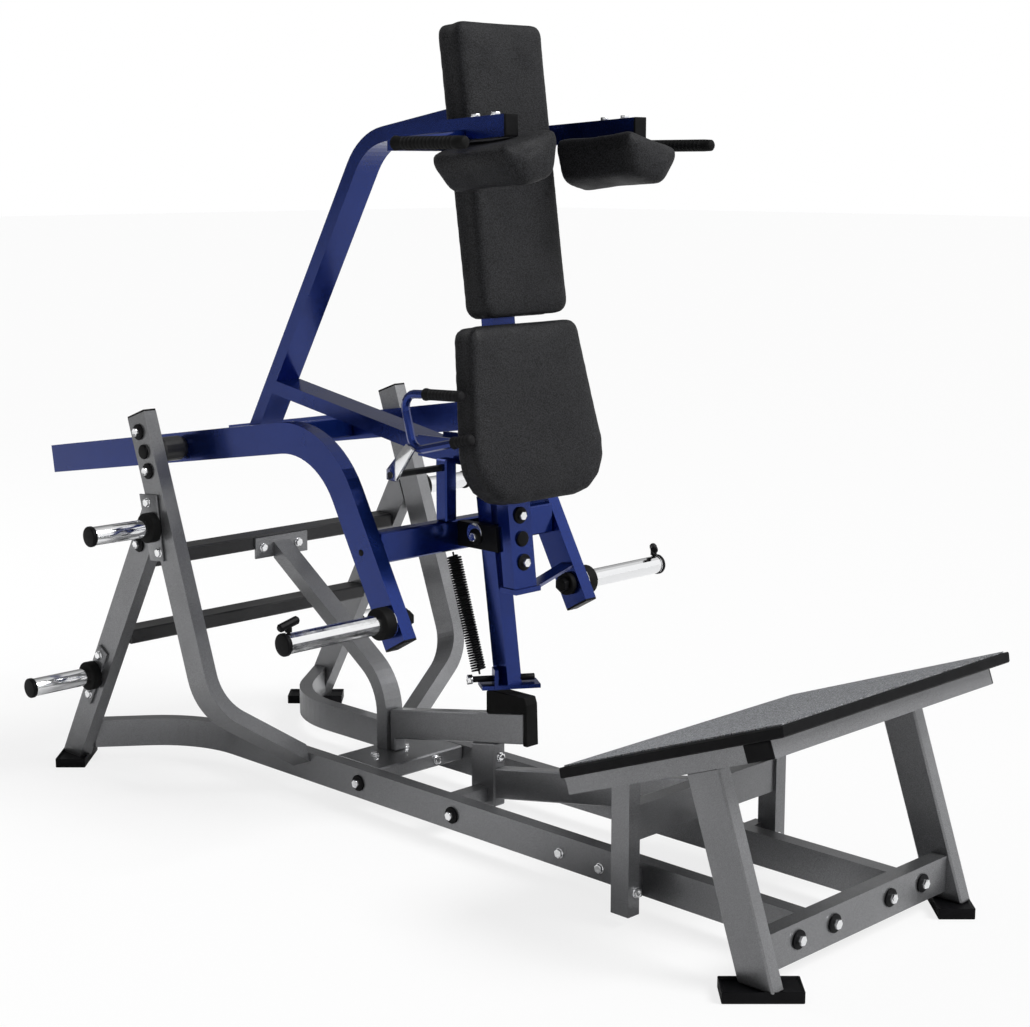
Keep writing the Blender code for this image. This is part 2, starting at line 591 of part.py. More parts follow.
def prop():
    """The safety prop under the lever, its foot and its return spring."""
    top, low = 0.885, 0.402
    front_low = 1.139
    front_top = front_low + math.tan(PROP_LEAN) * (top - low)
    tube = [
        (front_low, low), (front_low + PROP_SIZE, low), (front_top + PROP_SIZE, top), (front_top, top),
    ]
    piece = add("prop_tube", prism(tube, "X", -PROP_SIZE / 2, PROP_SIZE / 2), BLUE, PROP)
    plan = turned_box(0, 1.16, PROP_FOOT, 0.077, 0.032)
    boolean(piece, add("prop_foot", prism(plan, "Z", 0.3935, low + 0.002), BLUE, PROP), "UNION")
    centre = Vector((0, 1.164)) - PROP_FOOT * 0.038 + Vector((PROP_FOOT.y, -PROP_FOOT.x)) * 0.018
    plan = turned_box(centre.x, centre.y, PROP_FOOT, 0.005, 0.02)
    boolean(piece, add("prop_foot_lug", prism(plan, "Z", 0.3935, 0.446), BLUE, PROP), "UNION")
    bar = [(0, 0.007), (0.003, 0.0115), (0.013, 0.0115), (0.013, 0.0078), (0.176, 0.0078)]
    start = Vector((0, 1.164)) - PROP_FOOT * 0.108
    height = 0.4155
    bolt = turned(bar, (start.x, start.y, height), (PROP_FOOT.x, PROP_FOOT.y, 0), 12)
    boolean(piece, add("prop_foot_bolt", bolt, CHROME, PROP), "UNION")
    hook = Vector((0, 1.164)) - PROP_FOOT * 0.0747
    coil_spring(Vector(SPRING_TOP), Vector((hook.x, hook.y, height + 0.0078 + SPRING_WIRE)))


def coil_spring(top, foot_spot):
    axis = foot_spot - top
    length = axis.length
    turn = axis.normalized().to_track_quat("Z", "Y")
    lead = 0.012
    count = SPRING_TURNS * CURL_POINTS
    pitch = (length - 2 * lead) / SPRING_TURNS
    points = [Vector((0, 0, SPRING_WIRE)), Vector((0, 0, lead * 0.5))]
    for k in range(count + 1):
        a = 2 * math.pi * k / CURL_POINTS
        grow = min(1, k / 3, (count - k) / 3)
        points.append(Vector((
            SPRING_R * grow * math.cos(a), SPRING_R * grow * math.sin(a), lead + pitch * k / CURL_POINTS
        )))
    points += [Vector((0, 0, length - lead * 0.5)), Vector((0, 0, length - SPRING_WIRE))]
    path = [top + turn @ p for p in points]
    tube_along("prop_spring", path, SPRING_WIRE, 1, BLACK, PROP)
    least = min(
        (points[i] - points[j]).length
        for i in range(len(points))
        for j in range(i + CURL_POINTS - 2, min(i + CURL_POINTS + 3, len(points)))
    )
    print(f"spring: least gap between turns {1000 * (least - 2 * SPRING_WIRE):.2f} mm")


def tube_along(name, path, radius, resolution, paint, parent):
    data = bpy.data.curves.new(name, "CURVE")
    data.dimensions = "3D"
    data.bevel_depth = radius
    data.bevel_resolution = resolution
    data.use_fill_caps = True
    data.materials.append(paint)
    line = data.splines.new("POLY")
    line.points.add(len(path) - 1)
    spot = SPOTS[parent.name]
    for point, place in zip(line.points, path):
        point.co = (*(place - spot), 1)
    made = bpy.data.objects.new(name, data)
    bpy.context.scene.collection.objects.link(made)
    made.parent = parent
    return made


def prop_guide():
    for side, label in ((-1, "left"), (1, "right")):
        low, high = sorted((side * (PROP_SIZE / 2 + 0.0015), side * 0.05))
        low_z, high_z, rear = 0.755, 0.82, 1.30 - GAP
        behind = SLIM + GAP
        block = [
            (spine_y(low_z) + behind, low_z), (rear, low_z), (rear, high_z), (spine_y(high_z) + behind, high_z),
        ]
        piece = add(f"prop_guide_{label}", prism(block, "X", low, high), BLACK, LEVER)
        fasten(piece, [(side * 0.05, 1.23, 0.787)], (side, 0, 0), WASHER, LEVER)


def release_handle():
    x = -0.25
    post = add("handle_post", box(-0.10, -0.06, 1.29, 1.33, 0.8223, 0.985), BLUE, LEVER, bevel=EDGE)
    bore(post, (-0.11, HANDLE_Y, HANDLE_Z), (1, 0, 0), 0.0095, 0.06, LEVER)
    rod = [(0, 0.009), (0.218, 0.009)]
    shaft = add("handle_shaft", turned(rod, (x - 0.024, HANDLE_Y, HANDLE_Z), (1, 0, 0), 12), DARK, HANDLE)
    blade = [(1.325, 0.95), (1.325, 0.975), (1.25, 1.048), (1.225, 1.035), (1.292, 0.948)]
    fin = add("handle_blade", prism(blade, "X", x - 0.0213, x - 0.0113), CHROME, HANDLE)
    boolean(shaft, fin, "UNION")
    upper = [(x, 1.20, 1.173), (x, 1.285, 1.168), (x, 1.245, 1.028), (x, 1.10, 1.062)]
    path = fillet([Vector(p) for p in upper], 0.035, 5)
    loop = tube_along("handle_loop", path, 0.011, 1, BLUE, HANDLE)
    loop.data.bevel_resolution = 2
    for name, start, end in (
        ("handle_grip_upper", (x, 1.1997, 1.173), (x, 1.07, 1.178)),
        ("handle_grip_lower", (x, 1.0995, 1.0621), (x, 1.035, 1.077)),
    ):
        along = Vector(end) - Vector(start)
        length = along.length
        shape = [(0, 0.013), (0.002, 0.0155), (length - 0.006, 0.0155), (length, 0.011)]
        add(name, turned(shape, start, along, 14), BLACK, HANDLE, smooth=True)


floor_frame()
centre_frame()
platform()
lever_frame()
yoke()
pads()
prop()
prop_guide()
release_handle()
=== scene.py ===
"""A plate-loaded V-squat machine, dressed around its CAD frame.

The CAD's solids carry the shape. This script paints them, adds bolts, caps, plugs and other small
parts, remakes the pads, feet, pegs, grips and spring in finer form, and sets up the camera and the
studio of the photograph.
"""
import json
import math

import bpy
from mathutils import Matrix, Vector


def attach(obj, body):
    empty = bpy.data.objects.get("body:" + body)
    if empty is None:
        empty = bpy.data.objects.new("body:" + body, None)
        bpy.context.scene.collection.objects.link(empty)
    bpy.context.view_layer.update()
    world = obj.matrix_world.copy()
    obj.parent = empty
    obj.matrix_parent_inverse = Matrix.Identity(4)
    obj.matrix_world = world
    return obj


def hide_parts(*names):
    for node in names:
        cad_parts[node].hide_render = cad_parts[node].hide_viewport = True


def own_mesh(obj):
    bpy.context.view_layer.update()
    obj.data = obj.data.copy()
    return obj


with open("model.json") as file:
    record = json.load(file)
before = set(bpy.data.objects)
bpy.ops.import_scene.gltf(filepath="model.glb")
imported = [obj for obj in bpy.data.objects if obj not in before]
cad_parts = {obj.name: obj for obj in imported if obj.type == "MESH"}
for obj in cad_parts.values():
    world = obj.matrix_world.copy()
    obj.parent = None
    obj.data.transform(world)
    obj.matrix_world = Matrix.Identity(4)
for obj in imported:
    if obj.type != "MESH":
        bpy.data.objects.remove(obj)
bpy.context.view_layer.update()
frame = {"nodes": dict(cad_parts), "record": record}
nodes = frame["nodes"]

MID_Y = 1.3553  # the CAD's side views count y from the front legs' front edge
SIDES = ((-1, "left"), (1, "right"))

# faces and middles of the CAD's tubes, in metres from the machine's middle plane
RAIL_FACE = 0.195
UPRIGHT_FACE = 0.4738
LEG_FACE = 0.474
ARM_MIDDLE = 0.329
ARM_FACE = 0.349
ARM_INNER_FACE = 0.309
YOKE_ARM_MIDDLE = 0.225

RELEASE_HANDLE_X = -0.25
WEIGHT_HORN_Y, WEIGHT_HORN_Z = 1.24, 0.608
ARM_SLOPE = 0.154  # the rear half of a lever arm falls this much per metre


def at(x, y, z):
    """A point given in the machine's side view, in the shared frame."""
    return Vector((x, y - MID_Y, z))


# ---------------------------------------------------------------- camera
PHOTO_WIDTH = 1030  # pixels
FOCAL_LENGTH = 1944.4  # pixels, solved from the photograph's vanishing lines
PITCH_DOWN = 10.068  # degrees
YAW = 45.094  # degrees
SENSOR = 36  # millimetres

camera_data = bpy.data.cameras.new("camera")
camera = bpy.data.objects.new("camera", camera_data)
bpy.context.scene.collection.objects.link(camera)
camera.location = at(-3.4621, -2.3116, 1.72)
camera.rotation_euler = (math.radians(90 - PITCH_DOWN), 0, math.radians(-YAW))
camera_data.sensor_width = SENSOR
camera_data.lens = SENSOR * FOCAL_LENGTH / PHOTO_WIDTH
camera_data.clip_end = 200
bpy.context.scene.camera = camera


# ---------------------------------------------------------------- shader maths
class Value:
    """An output socket that takes part in Python expressions."""

    def __init__(self, nodes_of, socket):
        self.nodes_of = nodes_of
        self.socket = socket

    def _math(self, operation, other):
        return self.nodes_of.node("ShaderNodeMath", {"operation": operation}, [self, other])

    def __add__(self, other):
        return self._math("ADD", other)

    def __sub__(self, other):
        return self._math("SUBTRACT", other)

    def __rsub__(self, other):
        return self.nodes_of.node("ShaderNodeMath", {"operation": "SUBTRACT"}, [other, self])

    def __mul__(self, other):
        return self._math("MULTIPLY", other)

    __radd__ = __add__
    __rmul__ = __mul__

    def at_least(self, other):
        return self._math("MAXIMUM", other)


class Shading:
    """A node tree, and short ways to add nodes to it."""

    def __init__(self, tree):
        self.tree = tree

    def node(self, kind, settings, inputs, output=0):
        made = self.tree.nodes.new(kind)
        for key, value in settings.items():
            setattr(made, key, value)
        pairs = inputs.items() if isinstance(inputs, dict) else enumerate(inputs)
        for key, value in pairs:
            socket = made.inputs[key]
            if isinstance(value, Value):
                self.tree.links.new(value.socket, socket)
            else:
                socket.default_value = value
        return Value(self, made.outputs[output])

    def ramp(self, value, low, high, to_low=0.0, to_high=1.0):
        return self.node(
            "ShaderNodeMapRange", {"clamp": True},
            {"Value": value, "From Min": low, "From Max": high,
             "To Min": to_low, "To Max": to_high},
        )


class Finish(Shading):
    """One material, built from nodes around a Principled shader."""

    def __init__(self, name, colour, roughness, metallic=0.0, **fixed):
        self.material = bpy.data.materials.new(name)
        self.material.use_nodes = True
        super().__init__(self.material.node_tree)
        self.shader = self.tree.nodes["Principled BSDF"]
        self.shader.inputs["Base Color"].default_value = (*colour, 1)
        self.shader.inputs["Roughness"].default_value = roughness
        self.shader.inputs["Metallic"].default_value = metallic
        for key, value in fixed.items():
            socket = key.replace("_", " ").title().replace("Ior", "IOR")
            self.shader.inputs[socket].default_value = value
        self.place = self.node("ShaderNodeTexCoord", {}, {}, "Object")
        self.material.diffuse_color = (*colour, 1)

    def noise(self, size, detail=3.0, rough=0.5):
        """Noise from 0 to 1 with blotches of about this size in metres."""
        return self.node(
            "ShaderNodeTexNoise", {},
            {"Vector": self.place, "Scale": 1 / size, "Detail": detail, "Roughness": rough},
        )

    def cells(self, size, feature="F1"):
        return self.node(
            "ShaderNodeTexVoronoi", {"feature": feature}, {"Vector": self.place, "Scale": 1 / size}
        )

    def mix(self, factor, first, second):
        return self.node(
            "ShaderNodeMix", {"data_type": "RGBA"},
            {0: factor, 6: (*first, 1) if isinstance(first, tuple) else first,
             7: (*second, 1) if isinstance(second, tuple) else second},
            2,
        )

    def feed(self, socket, value):
        self.tree.links.new(value.socket, self.shader.inputs[socket])

    def bump(self, height, depth, strength=1.0):
        made = self.node(
            "ShaderNodeBump", {}, {"Height": height, "Distance": depth, "Strength": strength}
        )
        self.feed("Normal", made)

    def uneven_gloss(self, noise, middle, below, above):
        """Roughness that wanders about its middle value with the noise."""
        self.feed("Roughness", self.ramp(noise, 0.3, 0.7, middle - below, middle + above))


def powder_coat(name, dark, light, roughness, metallic, coat):
    """Metallic powder coat: fine flakes, a slight orange peel and uneven gloss."""
    paint = Finish(name, dark, roughness, metallic, coat_weight=coat, coat_roughness=0.12)
    flakes = paint.ramp(paint.cells(0.0011), 0.15, 0.6, 1.0, 0.0)
    clouds = paint.noise(0.35, 2.0)
    paint.feed("Base Color", paint.mix(flakes * 0.55 + clouds * 0.25, dark, light))
    paint.uneven_gloss(paint.noise(0.09, 4.0), roughness, 0.05, 0.07)
    paint.bump(paint.noise(0.004, 2.0), 0.0002, 0.35)
    return paint.material


def chrome_plate():
    plate = Finish("polished_chrome", (0.86, 0.865, 0.875), 0.12, 1.0)
    scuffs = plate.noise(0.02, 6.0, 0.7)
    plate.feed("Roughness", plate.ramp(scuffs, 0.4, 0.75, 0.07, 0.26))
    return plate.material


def moulded_plastic(name, colour, light, grain, roughness):
    plastic = Finish(name, colour, roughness, specular_ior_level=0.08)
    plastic.feed("Base Color", plastic.mix(plastic.noise(0.03, 4.0), colour, light))
    plastic.bump(plastic.noise(grain, 2.0), 0.0003, 0.5)
    plastic.uneven_gloss(plastic.noise(0.05), roughness, 0.06, 0.08)
    return plastic.material


def grained_leather():
    """Black pebbled upholstery. Its raised grain tops carry a painted highlight, and the creases
    between them carry painted shade.
    """
    hide = Finish("pebbled_black_upholstery", (0.014, 0.014, 0.016), 0.6, specular_ior_level=0.18)
    pebbles = hide.cells(0.0026, "SMOOTH_F1")
    fine = hide.noise(0.0012, 3.0)
    raised_grain_and_highlight = hide.ramp(pebbles + fine * 0.35, 0.25, 0.75, 1.0, 0.0)
    # painted highlight on the raised grain tops and painted shade in the creases between them; the
    # same mask also raises the grain in the bump below
    hide.feed("Base Color", hide.mix(raised_grain_and_highlight, (0.003, 0.003, 0.0035), (0.026, 0.0265, 0.03)))
    hide.feed("Roughness", hide.ramp(hide.noise(0.08, 3.0), 0.3, 0.7, 0.5, 0.68))
    hide.bump(raised_grain_and_highlight + fine * 0.4, 0.0006, 0.7)
    return hide.material


def grip_surface():
    """Grey anti-slip mat with pale and black grit."""
    grit = Finish("speckled_grip_mat", (0.12, 0.125, 0.13), 0.85)
    specks = grit.noise(0.0035, 4.0, 0.7)
    pale = grit.ramp(specks, 0.52, 0.58)
    black = grit.ramp(grit.noise(0.006, 4.0, 0.75), 0.42, 0.47, 1.0, 0.0)
    wash = grit.mix(grit.noise(0.2, 2.0), (0.16, 0.165, 0.175), (0.25, 0.255, 0.265))
    specked = grit.mix(pale, wash, (0.50, 0.515, 0.55))
    grit.feed("Base Color", grit.mix(black * 0.85, specked, (0.02, 0.02, 0.022)))
    grit.bump(specks, 0.0012, 0.8)
    return grit.material


def knurled_rubber():
    rubber = Finish("ribbed_black_rubber", (0.013, 0.013, 0.014), 0.62, specular_ior_level=0.1)
    ribs = rubber.node(
        "ShaderNodeTexWave", {"bands_direction": "Y"}, {"Vector": rubber.place, "Scale": 45.0},
        "Fac",
    )
    rubber.bump(ribs, 0.0006, 0.35)
    dust = rubber.noise(0.01, 4.0)
    rubber.feed("Base Color", rubber.mix(dust, (0.003, 0.003, 0.0035), (0.014, 0.014, 0.015)))
    return rubber.material


GREY = powder_coat(
    "grey_metallic_coat", (0.11, 0.111, 0.116), (0.40, 0.405, 0.415), 0.34, 0.75, 0.25
)
DARK = powder_coat(
    "dark_grey_coat", (0.010, 0.010, 0.011), (0.045, 0.045, 0.047), 0.40, 0.4, 0.08
)
BLUE = powder_coat("deep_blue_coat", (0.002, 0.009, 0.075), (0.016, 0.06, 0.38), 0.22, 0.8, 0.25)
CHROME = chrome_plate()
BLACK = moulded_plastic(
    "black_moulded_plastic", (0.0015, 0.0015, 0.0018), (0.006, 0.006, 0.007), 0.002, 0.42
)
RUBBER = moulded_plastic(
    "black_rubber", (0.002, 0.002, 0.002), (0.009, 0.009, 0.009), 0.003, 0.62
)
RIBBED = knurled_rubber()
LEATHER = grained_leather()
GRIT = grip_surface()

SLOT_FINISH = {
    "upholstery": LEATHER, "black_plastic": BLACK, "black_rubber": RUBBER, "grip_mat": GRIT,
    "chrome": CHROME, "dark_paint": DARK, "blue_paint": BLUE, "grey_paint": GREY,
}
for entry in frame["record"]["subparts"]:
    node = nodes[entry["node"]]
    node.data.materials.clear()
    node.data.materials.append(SLOT_FINISH[entry["material_slot"]])


# ---------------------------------------------------------------- modelling helpers
def deselect():
    if bpy.context.mode != "OBJECT":
        bpy.ops.object.mode_set(mode="OBJECT")
    bpy.ops.object.select_all(action="DESELECT")


def make_active(piece):
    deselect()
    piece.select_set(True)
    bpy.context.view_layer.objects.active = piece


def apply_place():
    """Applies the selected piece's place, turn and scale to its mesh."""
    bpy.ops.object.transform_apply(location=True, rotation=True, scale=True)


def finish_piece(piece, name, paint, body, angle=35):
    """Applies modifiers and place, names and paints the piece and lets it ride."""
    make_active(piece)
    for modifier in list(piece.modifiers):
        bpy.ops.object.modifier_apply(modifier=modifier.name)
    apply_place()
    bpy.ops.object.shade_smooth_by_angle(angle=math.radians(angle))
    piece.name = name
    piece.data.name = name
    piece.data.materials.clear()
    piece.data.materials.append(paint)
    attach(piece, body)
    return piece


def bevelled(piece, width, segments=3):
    """Rounds the piece's edges with a modifier, which isn't applied yet."""
    bevel = piece.modifiers.new("edges", "BEVEL")
    bevel.width = width
    bevel.segments = segments
    bevel.limit_method = "ANGLE"
    bevel.angle_limit = math.radians(40)


def box_blank(*size):
    """A sharp box of this size around the origin."""
    deselect()
    bpy.ops.mesh.primitive_cube_add(size=1)
    piece = bpy.context.object
    piece.scale = size
    apply_place()
    return piece


def turned_disc(radius, low, high, vertices=40, bevel=0.001, segments=3):
    """A round blank along Z from low to high, at the origin."""
    deselect()
    bpy.ops.mesh.primitive_cylinder_add(
        vertices=vertices, radius=radius, depth=high - low, location=(0, 0, (low + high) / 2)
    )
    piece = bpy.context.object
    apply_place()
    bevelled(piece, bevel, segments)
    bpy.ops.object.modifier_apply(modifier="edges")
    return piece


def set_down(pattern, spot, direction, name, paint, body, spin=0.0):
    """A copy of a blank modelled along Z, put at a spot and turned to a direction."""
    piece = bpy.data.objects.new(name, pattern.data.copy())
    bpy.context.scene.collection.objects.link(piece)
    turn = Vector(direction).to_track_quat("Z", "Y").to_matrix().to_4x4()
    piece.data.transform(Matrix.Translation(spot) @ turn @ Matrix.Rotation(spin, 4, "Z"))
    return finish_piece(piece, name, paint, body)


def turned_piece(disc, spot, direction, name, paint, body):
    """One turned part. disc says what turned_disc takes."""
    blank = turned_disc(*disc)
    piece = set_down(blank, spot, direction, name, paint, body)
    bpy.data.objects.remove(blank)
    return piece


def pick_top(piece):
    """Selects the top face of a blank and nothing else."""
    top = max(p.center.z for p in piece.data.polygons)
    for polygon in piece.data.polygons:
        polygon.select = polygon.center.z > top - 1e-5 and polygon.normal.z > 0.99
    for edge in piece.data.edges:
        edge.select = False
    for vertex in piece.data.vertices:
        vertex.select = False
    for polygon in piece.data.polygons:
        if polygon.select:
            for index in polygon.vertices:
                piece.data.vertices[index].select = True


def dished_face(piece, radius, depth):
    """Insets the top face of a blank and presses it in, as on a plug or a bolt's head."""
    make_active(piece)
    pick_top(piece)
    bpy.ops.object.mode_set(mode="EDIT")
    bpy.ops.mesh.select_mode(type="FACE")
    bpy.ops.mesh.inset(thickness=radius)
    bpy.ops.transform.translate(value=(0, 0, depth))
    bpy.ops.object.mode_set(mode="OBJECT")
    return piece


# ---------------------------------------------------------------- bolts, caps and plugs
washer_blank = turned_disc(0.0219, 0.0, 0.0053, 48, 0.0018)
small_washer_blank = turned_disc(0.0128, 0.0, 0.0022, 32, 0.0005)
head_blank = dished_face(turned_disc(0.0120, 0.0, 0.0158, 6, 0.0012, 2), 0.0035, -0.0009)
low_head_blank = dished_face(turned_disc(0.0120, 0.0, 0.0092, 6, 0.0012, 2), 0.0035, -0.0007)
cap_blank = turned_disc(0.0203, 0.0, 0.0072, 48, 0.0035, 5)


def washered_bolt(name, spot, direction, body):
    set_down(washer_blank, spot, direction, f"{name}_washer", BLACK, body)
    set_down(head_blank, spot, direction, f"{name}_head", CHROME, body, 0.4)


def plain_bolt(name, spot, direction, body):
    set_down(small_washer_blank, spot, direction, f"{name}_washer", CHROME, body)
    set_down(low_head_blank, spot, direction, f"{name}_head", CHROME, body, 0.2)


def round_cap(name, spot, direction, body):
    set_down(cap_blank, spot, direction, f"{name}_cap", BLACK, body)


def spine_front(z):
    """The y of the spine's front face, which leans back as it rises."""
    foot_y, foot_z, lean = 1.10, 0.665, 0.1176
    return foot_y + lean * (z - foot_z)


def yoke_top(y):
    """The z of a yoke arm's top face, a millimetre inside it."""
    front_y, front_z, fall = 0.93, 1.844, 0.055
    return front_z - fall * (y - front_y) - 0.001


for side, label in SIDES:
    out = (side, 0, 0)
    for n, (y, z) in enumerate(((1.54, 0.089), (1.173, 0.087))):
        washered_bolt(f"rail_bolt_{label}_{n}", at(side * RAIL_FACE, y, z), out, "base")
    for n, (y, z) in enumerate(((0.791, 0.083), (0.659, 0.079))):
        plain_bolt(f"rail_screw_{label}_{n}", at(side * RAIL_FACE, y, z), out, "base")
    for n, (y, z) in enumerate(((2.109, 1.015), (2.07, 0.912))):
        washered_bolt(f"bearing_bolt_{label}_{n}", at(side * UPRIGHT_FACE, y, z), out, "base")
    round_cap(f"bearing_{label}", at(side * UPRIGHT_FACE, 2.086, 0.963), out, "base")
    washered_bolt(f"leg_bolt_{label}", at(side * LEG_FACE, 2.125, 0.703), out, "base")
    plain_bolt(f"short_leg_bolt_{label}", at(side * 0.266, 0.483, 0.0855), (0, -1, 0), "base")
    for n, y in enumerate((0.978, 1.045)):
        spot = at(side * YOKE_ARM_MIDDLE, y, yoke_top(y))
        plain_bolt(f"yoke_bolt_{label}_{n}", spot, (0, 0, 1), "lever")
    washered_bolt(f"guide_bolt_{label}", at(side * 0.05, 1.23, 0.787), out, "lever")
for n, x in enumerate((-0.237, -0.107, 0.107, 0.237)):
    washered_bolt(f"front_bolt_{n}", at(x, 0.045, 0.091), (0, -1, 0), "base")
for n, x in enumerate((-0.068, 0.06)):
    plain_bolt(f"brace_bolt_{n}", at(x, 2.0987, 0.64), (0, -1, 0), "base")
plain_bolt("post_bolt", at(0, 1.195, 0.194), (0, -1, 0), "base")
for z in (0.85, 0.73):
    spot = at(0, spine_front(z) + 0.0005, z)
    washered_bolt(f"spine_bolt_{int(z * 100)}", spot, (0, -1, 0), "lever")
round_cap("spine", at(0, spine_front(0.79) + 0.0005, 0.79), (0, -1, 0), "lever")


PLUG_THICK = 0.006


def end_plug(name, spot, direction, wide, high, body, across=(1, 0, 0), proud=0.0054):
    """A moulded plug over a tube's open end: wide along across, high square to it."""
    piece = box_blank(wide, high, PLUG_THICK)
    bevelled(piece, 0.0022, 3)
    bpy.ops.object.modifier_apply(modifier="edges")
    dished_face(piece, 0.005, -0.0005)
    normal = Vector(direction).normalized()
    first = Vector(across).normalized()
    second = normal.cross(first)
    turn = Matrix((first, second, normal)).transposed().to_4x4()
    piece.data.transform(Matrix.Translation(spot + normal * (proud - PLUG_THICK / 2)) @ turn)
    finish_piece(piece, name, BLACK, body)


arm_back = Vector((0, math.cos(math.atan(ARM_SLOPE)), -math.sin(math.atan(ARM_SLOPE))))
arm_down = Vector((0, -0.2768, -0.5012)).normalized()
upright_up = Vector((0, 0.3357, 0.942))
platform_slope = Vector((0, -0.939, 0.3437))
for side, label in SIDES:
    end_plug(
        f"arm_plug_{label}", at(side * ARM_MIDDLE, 2.75, 0.8611), arm_back, 0.037, 0.0725, "lever",
        proud=0.0005,
    )
    end_plug(
        f"arm_foot_plug_{label}", at(side * ARM_MIDDLE, 1.2125, 0.554), arm_down, 0.041, 0.082,
        "lever",
    )
    end_plug(
        f"upright_plug_{label}", at(side * 0.4535, 2.1225, 1.06), upright_up, 0.041, 0.081, "base"
    )
    end_plug(
        f"yoke_plug_{label}", at(side * YOKE_ARM_MIDDLE, 0.93, 1.8185), (0, -1, 0), 0.043, 0.052,
        "lever",
    )
    end_plug(
        f"cross_plug_{label}", at(side * 0.41, 0.0271, 0.5505), (side, 0, 0), 0.0725, 0.0395,
        "base", across=platform_slope,
    )


# ---------------------------------------------------------------- small parts on the frame
for side, label in SIDES:
    turned_piece(
        (0.0085, 0.0, 0.0008, 32, 0.0004, 2), at(side * ARM_FACE, 1.336, 0.771), (side, 0, 0),
        f"arm_hole_plug_{label}", BLACK, "lever",
    )
turned_piece(
    (0.027, 0.0, 0.0032, 48, 0.001, 2), at(-0.0503, 1.235, 0.795), (-1, 0, 0),
    "guide_ring", CHROME, "lever",
)
plain_bolt("tie_front_bolt", at(0.056, 1.50, 0.108), (0, -1, 0), "base")
for n, (x, y) in enumerate(((0.0305, 1.6037), (-0.0844, 1.599))):
    plain_bolt(f"tie_top_bolt_{n}", at(x, y, 0.128), (0, 0, 1), "base")


def foot_tray(name, x, y, turn):
    """A moulded foot with a raised lip, set at 45 degrees to the frame."""
    height = 0.028
    piece = box_blank(0.176, 0.086, height)
    dished_face(piece, 0.007, -0.0075)
    bevelled(piece, 0.0026, 3)
    piece.rotation_euler = (0, 0, turn)
    piece.location = at(x, y, height / 2)
    finish_piece(piece, f"{name}_tray", BLACK, "base")
    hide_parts(name)


for side, label in SIDES:
    foot_tray(f"rear_foot_{label}", side * 0.455, 2.515, -side * math.pi / 4)
    foot_tray(f"front_foot_{label}", side * 0.36, 0.048, side * math.pi / 4)


def flat_plate(name, outline, low, high, paint, body):
    """A cut plate from its side view, low and high across the machine."""
    deselect()
    bpy.ops.mesh.primitive_circle_add(vertices=len(outline), fill_type="NGON")
    piece = bpy.context.object
    for vertex, (y, z) in zip(piece.data.vertices, outline):
        vertex.co = at(low, y, z)
    bpy.ops.object.mode_set(mode="EDIT")
    bpy.ops.mesh.select_all(action="SELECT")
    bpy.ops.mesh.extrude_region_move(TRANSFORM_OT_translate={"value": (high - low, 0, 0)})
    bpy.ops.mesh.select_all(action="SELECT")
    bpy.ops.mesh.normals_make_consistent(inside=False)
    bpy.ops.object.mode_set(mode="OBJECT")
    bevelled(piece, 0.0012, 2)
    finish_piece(piece, name, paint, body)


# ---------------------------------------------------------------- horns
def storage_peg(name, side, y, z, root, tip, outline, bolts):
    """A peg for spare plates: bolted root plate, rubber stop, chrome tube and end cap."""
    face = root + 0.006  # the root plate is 6 mm thick
    length = tip - face
    out = (side, 0, 0)
    start = at(side * face, y, z)
    tube = (0.025, -0.003, length - 0.012, 56, 0.001, 2)
    stop = (0.041, 0.0, 0.028, 56, 0.004, 4)
    cap = (0.0278, length - 0.014, length, 56, 0.004, 5)
    peg = turned_piece(tube, start, out, f"{name}_tube", CHROME, "base")
    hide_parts(name)
    turned_piece(stop, start, out, f"{name}_stop", RUBBER, "base")
    turned_piece(cap, start, out, f"{name}_tip", BLACK, "base")
    flat_plate(f"{name}_root_plate", outline, side * root, side * face, GREY, "base")
    for n, (bolt_y, bolt_z) in enumerate(bolts):
        plain_bolt(f"{name}_bolt_{n}", at(side * face, bolt_y, bolt_z), out, "base")


for side, label in SIDES:
    storage_peg(
        f"storage_horn_upper_{label}", side, 2.043, 0.762, 0.4758, 0.688,
        [(2.028, 0.851), (2.004, 0.672), (2.064, 0.666), (2.106, 0.846)],
        [(2.067, 0.827), (2.019, 0.695)],
    )
    storage_peg(
        f"storage_horn_lower_{label}", side, 2.364, 0.2895, 0.4743, 0.694,
        [(2.335, 0.383), (2.297, 0.361), (2.393, 0.196), (2.431, 0.218)],
        [(2.3345, 0.352), (2.3935, 0.2275)],
    )


def weight_horn_trim(side, label):
    """What a weight horn carries: stop and tip outside the arm, ring and nut inside it."""
    length, radius = 0.331, 0.0255
    stop = (0.0408, 0.0, 0.0345, 48, 0.004, 4)
    tip = (radius + 0.0028, length - 0.0125, length + 0.0012, 48, 0.004, 5)
    ring = (0.0312, 0.0, 0.0175, 40, 0.003, 3)
    nut = (0.0205, 0.0, 0.0345, 6, 0.0015, 2)
    root = at(side * 0.3493, WEIGHT_HORN_Y, WEIGHT_HORN_Z)
    inside = at(side * ARM_INNER_FACE, WEIGHT_HORN_Y, WEIGHT_HORN_Z)
    for disc, spot, way, name, paint, slot in (
        (stop, root, side, f"plate_horn_{label}_stop", RUBBER, "black_rubber"),
        (tip, root, side, f"plate_horn_{label}_tip", BLACK, "black_plastic"),
        (ring, inside, -side, f"horn_nut_ring_{label}", RUBBER, "black_rubber"),
        (nut, inside, -side, f"horn_nut_{label}", BLACK, "black_plastic"),
    ):
        turned_piece(disc, spot, (way, 0, 0), name, paint, "lever")


for side, label in SIDES:
    weight_horn_trim(side, label)


# ---------------------------------------------------------------- pads
PAD_VOXEL = 0.006
PAD_SWELL = 0.003  # the furthest that the cloth may leave the CAD's shape
CLOTH_FRAMES = 20
CLOTH_PRESSURE = 4


def smoothed(piece, name, rounds):
    smooth = piece.modifiers.new(name, "SMOOTH")
    smooth.iterations = rounds
    bpy.ops.object.modifier_apply(modifier=name)


